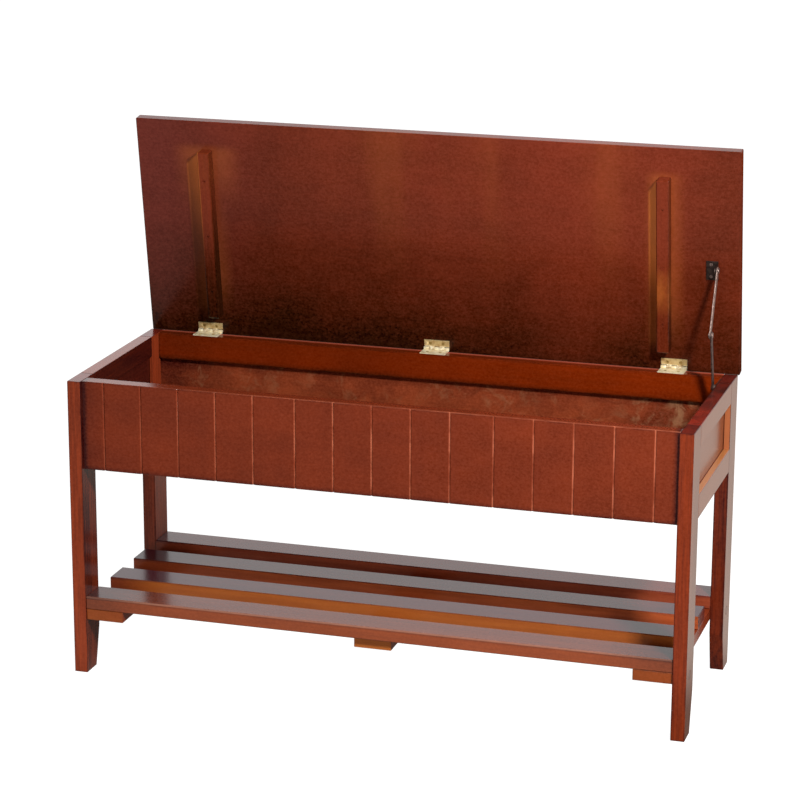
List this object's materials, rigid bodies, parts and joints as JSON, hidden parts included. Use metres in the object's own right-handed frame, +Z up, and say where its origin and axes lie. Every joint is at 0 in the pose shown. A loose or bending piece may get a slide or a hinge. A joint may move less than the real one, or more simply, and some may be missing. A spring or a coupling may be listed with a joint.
{
  "type": "shoe storage bench",
  "caption": "Wooden shoe bench with a panelled storage box, a lid on brass hinges held by a folding stay, and a slatted shelf between tapered legs.",
  "frame": {"origin": "on the floor, under the middle of the whole bench with its lid open", "axes": "+X along the bench to the right as seen from the front, +Y to the back, +Z up"},
  "size_m": [0.891, 0.3412, 0.7605],
  "materials": {
    "frame_wood": "red-brown stain under clear lacquer",
    "front_wood": "red-brown stain under clear lacquer",
    "lid_wood": "red-brown stain under clear lacquer",
    "panel_wood": "stained plywood under thin lacquer",
    "ledger_wood": "stained softwood strip",
    "shelf_wood": "orange-brown stain under clear lacquer",
    "plug_wood": "stained plug, end grain",
    "dowel_wood": "bare beech",
    "brass": "polished plate",
    "bright_steel": "bright zinc plate",
    "dark_steel": "dull grey plate"
  },
  "bodies": {
    "bench": {"leg_front_left": "frame_wood", "leg_front_right": "frame_wood", "leg_rear_left": "frame_wood", "leg_rear_right": "frame_wood", "front_panel": "front_wood", "end_top_rail_left": "frame_wood", "end_top_rail_right": "frame_wood", "end_bottom_rail_left": "frame_wood", "end_bottom_rail_right": "frame_wood", "end_panel_left": "panel_wood", "end_panel_right": "panel_wood", "rear_top_rail": "frame_wood", "rear_bottom_rail": "frame_wood", "rear_panel": "panel_wood", "bottom_panel": "panel_wood", "floor_ledger_front": "ledger_wood", "floor_ledger_rear": "ledger_wood", "shelf_slat_front": "shelf_wood", "shelf_slat_mid_front": "shelf_wood", "shelf_slat_mid_rear": "shelf_wood", "shelf_slat_rear": "shelf_wood", "shelf_cleat_left": "shelf_wood", "shelf_cleat_middle": "shelf_wood", "shelf_cleat_right": "shelf_wood", "slat_screws": "bright_steel", "leg_plugs": "plug_wood", "leg_bolts": "bright_steel", "frame_dowels": "dowel_wood", "hinge_frame_leaf_left": "brass", "hinge_frame_leaf_middle": "brass", "hinge_frame_leaf_right": "brass", "hinge_pin_left": "brass", "hinge_pin_middle": "brass", "hinge_pin_right": "brass", "hinge_frame_screws": "brass", "stay_box_bracket": "dark_steel", "stay_box_pin": "bright_steel", "stay_box_screws": "bright_steel"},
    "lid": {"lid_board": "lid_wood", "lid_batten_left": "lid_wood", "lid_batten_right": "lid_wood", "batten_screws": "bright_steel", "hinge_lid_leaf_left": "brass", "hinge_lid_leaf_middle": "brass", "hinge_lid_leaf_right": "brass", "hinge_lid_screws": "brass", "stay_lid_bracket": "dark_steel", "stay_lid_pin": "bright_steel", "stay_lid_screws": "bright_steel"},
    "stay_upper": {"stay_upper_arm": "bright_steel", "stay_elbow_rivet": "bright_steel"},
    "stay_lower": {"stay_lower_arm": "dark_steel", "stay_elbow_washer": "bright_steel"}
  },
  "joints": [
    {"name": "lid_hinge", "type": "hinge", "parent": "bench", "child": "lid", "pos_m": [0, 0.15139, 0.4347], "axis": [1, 0, 0], "range_deg": [0, 82.1]},
    {"name": "stay_upper_pivot", "type": "hinge", "parent": "lid", "child": "stay_upper", "pos_m": [0.4154, 0.11735, 0.58729], "axis": [1, 0, 0], "range_deg": [-15.2, 0]},
    {"name": "stay_lower_pivot", "type": "hinge", "parent": "bench", "child": "stay_lower", "pos_m": [0.4174, 0.10239, 0.4235], "axis": [1, 0, 0], "range_deg": [0, 129.4]}
  ],
  "couplings": [
    {"joint": "stay_upper_pivot", "follows": "lid_hinge", "ratio": -0.18495},
    {"joint": "stay_lower_pivot", "follows": "lid_hinge", "ratio": 1.5757}
  ]
}
